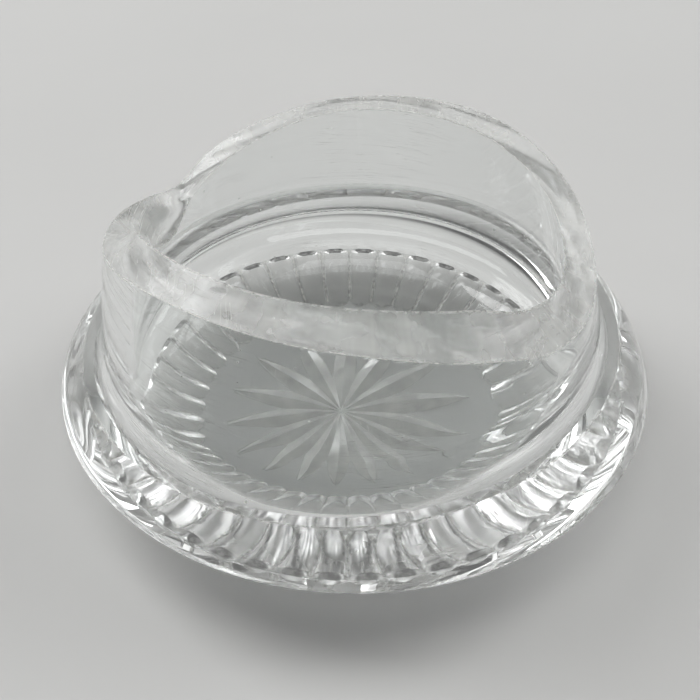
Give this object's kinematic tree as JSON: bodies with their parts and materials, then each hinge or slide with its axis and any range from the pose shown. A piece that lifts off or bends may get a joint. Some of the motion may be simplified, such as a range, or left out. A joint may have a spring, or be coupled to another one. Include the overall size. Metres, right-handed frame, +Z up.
{
  "type": "open glass salt",
  "caption": "Small open salt of colourless cut glass with a star-cut foot, fluted underside, smooth sloping belt and uneven broken rim.",
  "frame": {"origin": "under the middle of the round lip, in the plane that it stands on", "axes": "+Z up through the opening, -Y towards the high front of the rim, +X to its right as seen from the front"},
  "size_m": [0.08, 0.08, 0.041],
  "materials": {
    "clear_glass": "polished clear glass with wheel-cut facets and a broken edge"
  },
  "bodies": {
    "root": {"glass_body": "clear_glass"}
  },
  "joints": []
}
